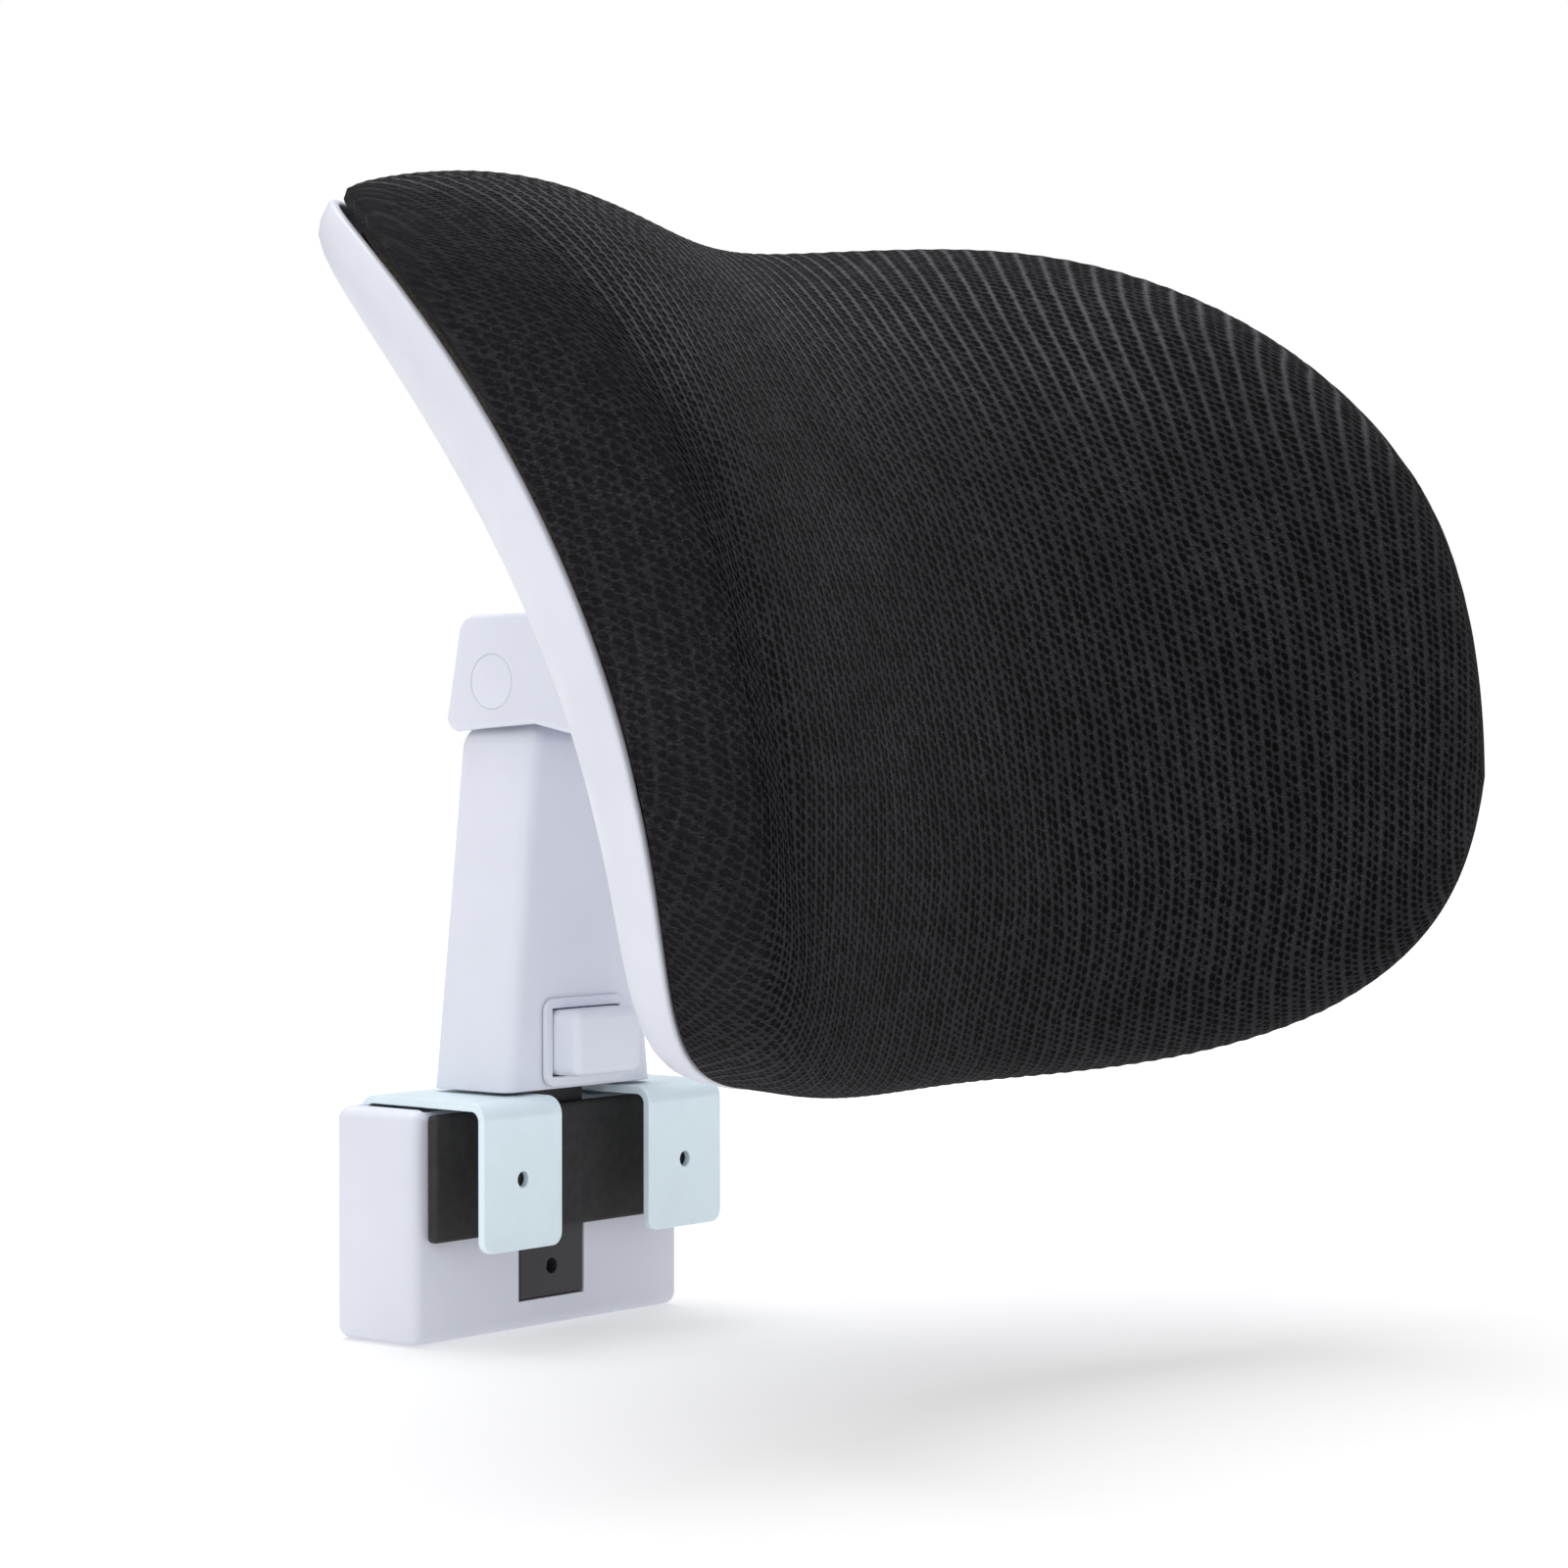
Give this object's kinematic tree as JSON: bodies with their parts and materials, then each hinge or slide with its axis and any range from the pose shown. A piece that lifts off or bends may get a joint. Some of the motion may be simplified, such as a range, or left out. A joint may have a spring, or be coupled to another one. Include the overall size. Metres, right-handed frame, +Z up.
{
  "type": "chair headrest attachment",
  "caption": "Clamp-on headrest for an office chair: a mesh-covered saddle cushion tilts on a height-adjustable stem held by two hooks over the chair back's edge.",
  "frame": {"origin": "middle of the jaw pad's face, where it meets the rear of the chair back, level with the middle of the pad", "axes": "+Z up the stem, -Y towards the person who leans on the cushion, +X to that side's right when seen from the front"},
  "size_m": [0.2768, 0.2055, 0.2556],
  "materials": {
    "white_plastic": "satin moulded",
    "mesh_fabric": "knitted spacer mesh",
    "foam": "cut foam",
    "black_plastic": "matt moulded",
    "zinc_steel": "zinc plated",
    "bright_steel": "plated",
    "rubber": "matt",
    "nylon": "natural"
  },
  "bodies": {
    "base": {"base_housing": "white_plastic", "jaw_pad": "rubber", "mast": "black_plastic", "mast_screw_1": "bright_steel", "mast_screw_2": "bright_steel", "clamp_washer_left": "bright_steel", "clamp_washer_right": "bright_steel"},
    "hook_left": {"hook_left": "zinc_steel", "hook_pad_left": "rubber", "clamp_nut_left": "bright_steel"},
    "hook_right": {"hook_right": "zinc_steel", "hook_pad_right": "rubber", "clamp_nut_right": "bright_steel"},
    "clamp_screw_left": {"clamp_screw_left": "bright_steel"},
    "clamp_screw_right": {"clamp_screw_right": "bright_steel"},
    "stem": {"stem_housing": "white_plastic", "stem_rear_cover": "white_plastic", "pivot_block": "black_plastic", "button_bezel": "white_plastic", "stem_screw_1": "bright_steel", "stem_screw_2": "bright_steel", "stem_screw_3": "bright_steel", "stem_screw_4": "bright_steel"},
    "button": {"release_button": "white_plastic", "latch_plate": "black_plastic", "brake_pad": "rubber", "button_spring_left": "bright_steel", "button_spring_right": "bright_steel"},
    "headrest": {"cushion_cover": "mesh_fabric", "foam_pad": "foam", "support_board": "black_plastic", "rear_shell": "white_plastic", "shell_screw_1": "bright_steel", "shell_screw_2": "bright_steel", "shell_screw_3": "bright_steel", "shell_screw_4": "bright_steel", "tilt_arm": "white_plastic", "arm_screw_1": "bright_steel", "arm_screw_2": "bright_steel", "arm_screw_3": "bright_steel", "arm_screw_4": "bright_steel", "tilt_axle": "bright_steel", "axle_spring_washer": "bright_steel", "axle_nut": "bright_steel", "axle_cap_left": "white_plastic", "axle_cap_right": "white_plastic", "friction_washer_left": "nylon", "friction_washer_right": "nylon"}
  },
  "joints": [
    {"name": "hook_left_slide", "type": "slide", "parent": "base", "child": "hook_left", "axis": [0, -1, 0], "range_m": [0, 0.0145]},
    {"name": "hook_right_slide", "type": "slide", "parent": "base", "child": "hook_right", "axis": [0, -1, 0], "range_m": [0, 0.0145]},
    {"name": "clamp_left_turn", "type": "hinge", "parent": "base", "child": "clamp_screw_left", "pos_m": [-0.0281, 0.0306, -0.006], "axis": [0, 1, 0], "range_deg": [0, 5221]},
    {"name": "clamp_right_turn", "type": "hinge", "parent": "base", "child": "clamp_screw_right", "pos_m": [0.0281, 0.0306, -0.006], "axis": [0, 1, 0], "range_deg": [0, 5221]},
    {"name": "stem_lift", "type": "slide", "parent": "base", "child": "stem", "axis": [0, 0, 1], "range_m": [0, 0.045]},
    {"name": "button_press", "type": "slide", "parent": "stem", "child": "button", "axis": [0, 1, 0], "range_m": [0, 0.0024], "stiffness_N_per_m": 800, "springref_m": -0.001, "deforming": ["button_spring_left", "button_spring_right"]},
    {"name": "headrest_tilt", "type": "hinge", "parent": "stem", "child": "headrest", "pos_m": [0, 0.0055, 0.113], "axis": [1, 0, 0], "range_deg": [-8, 15]}
  ],
  "couplings": [
    {"joint": "clamp_left_turn", "follows": "hook_left_slide", "rad_per_m": 6283.2},
    {"joint": "clamp_right_turn", "follows": "hook_right_slide", "rad_per_m": 6283.2}
  ]
}
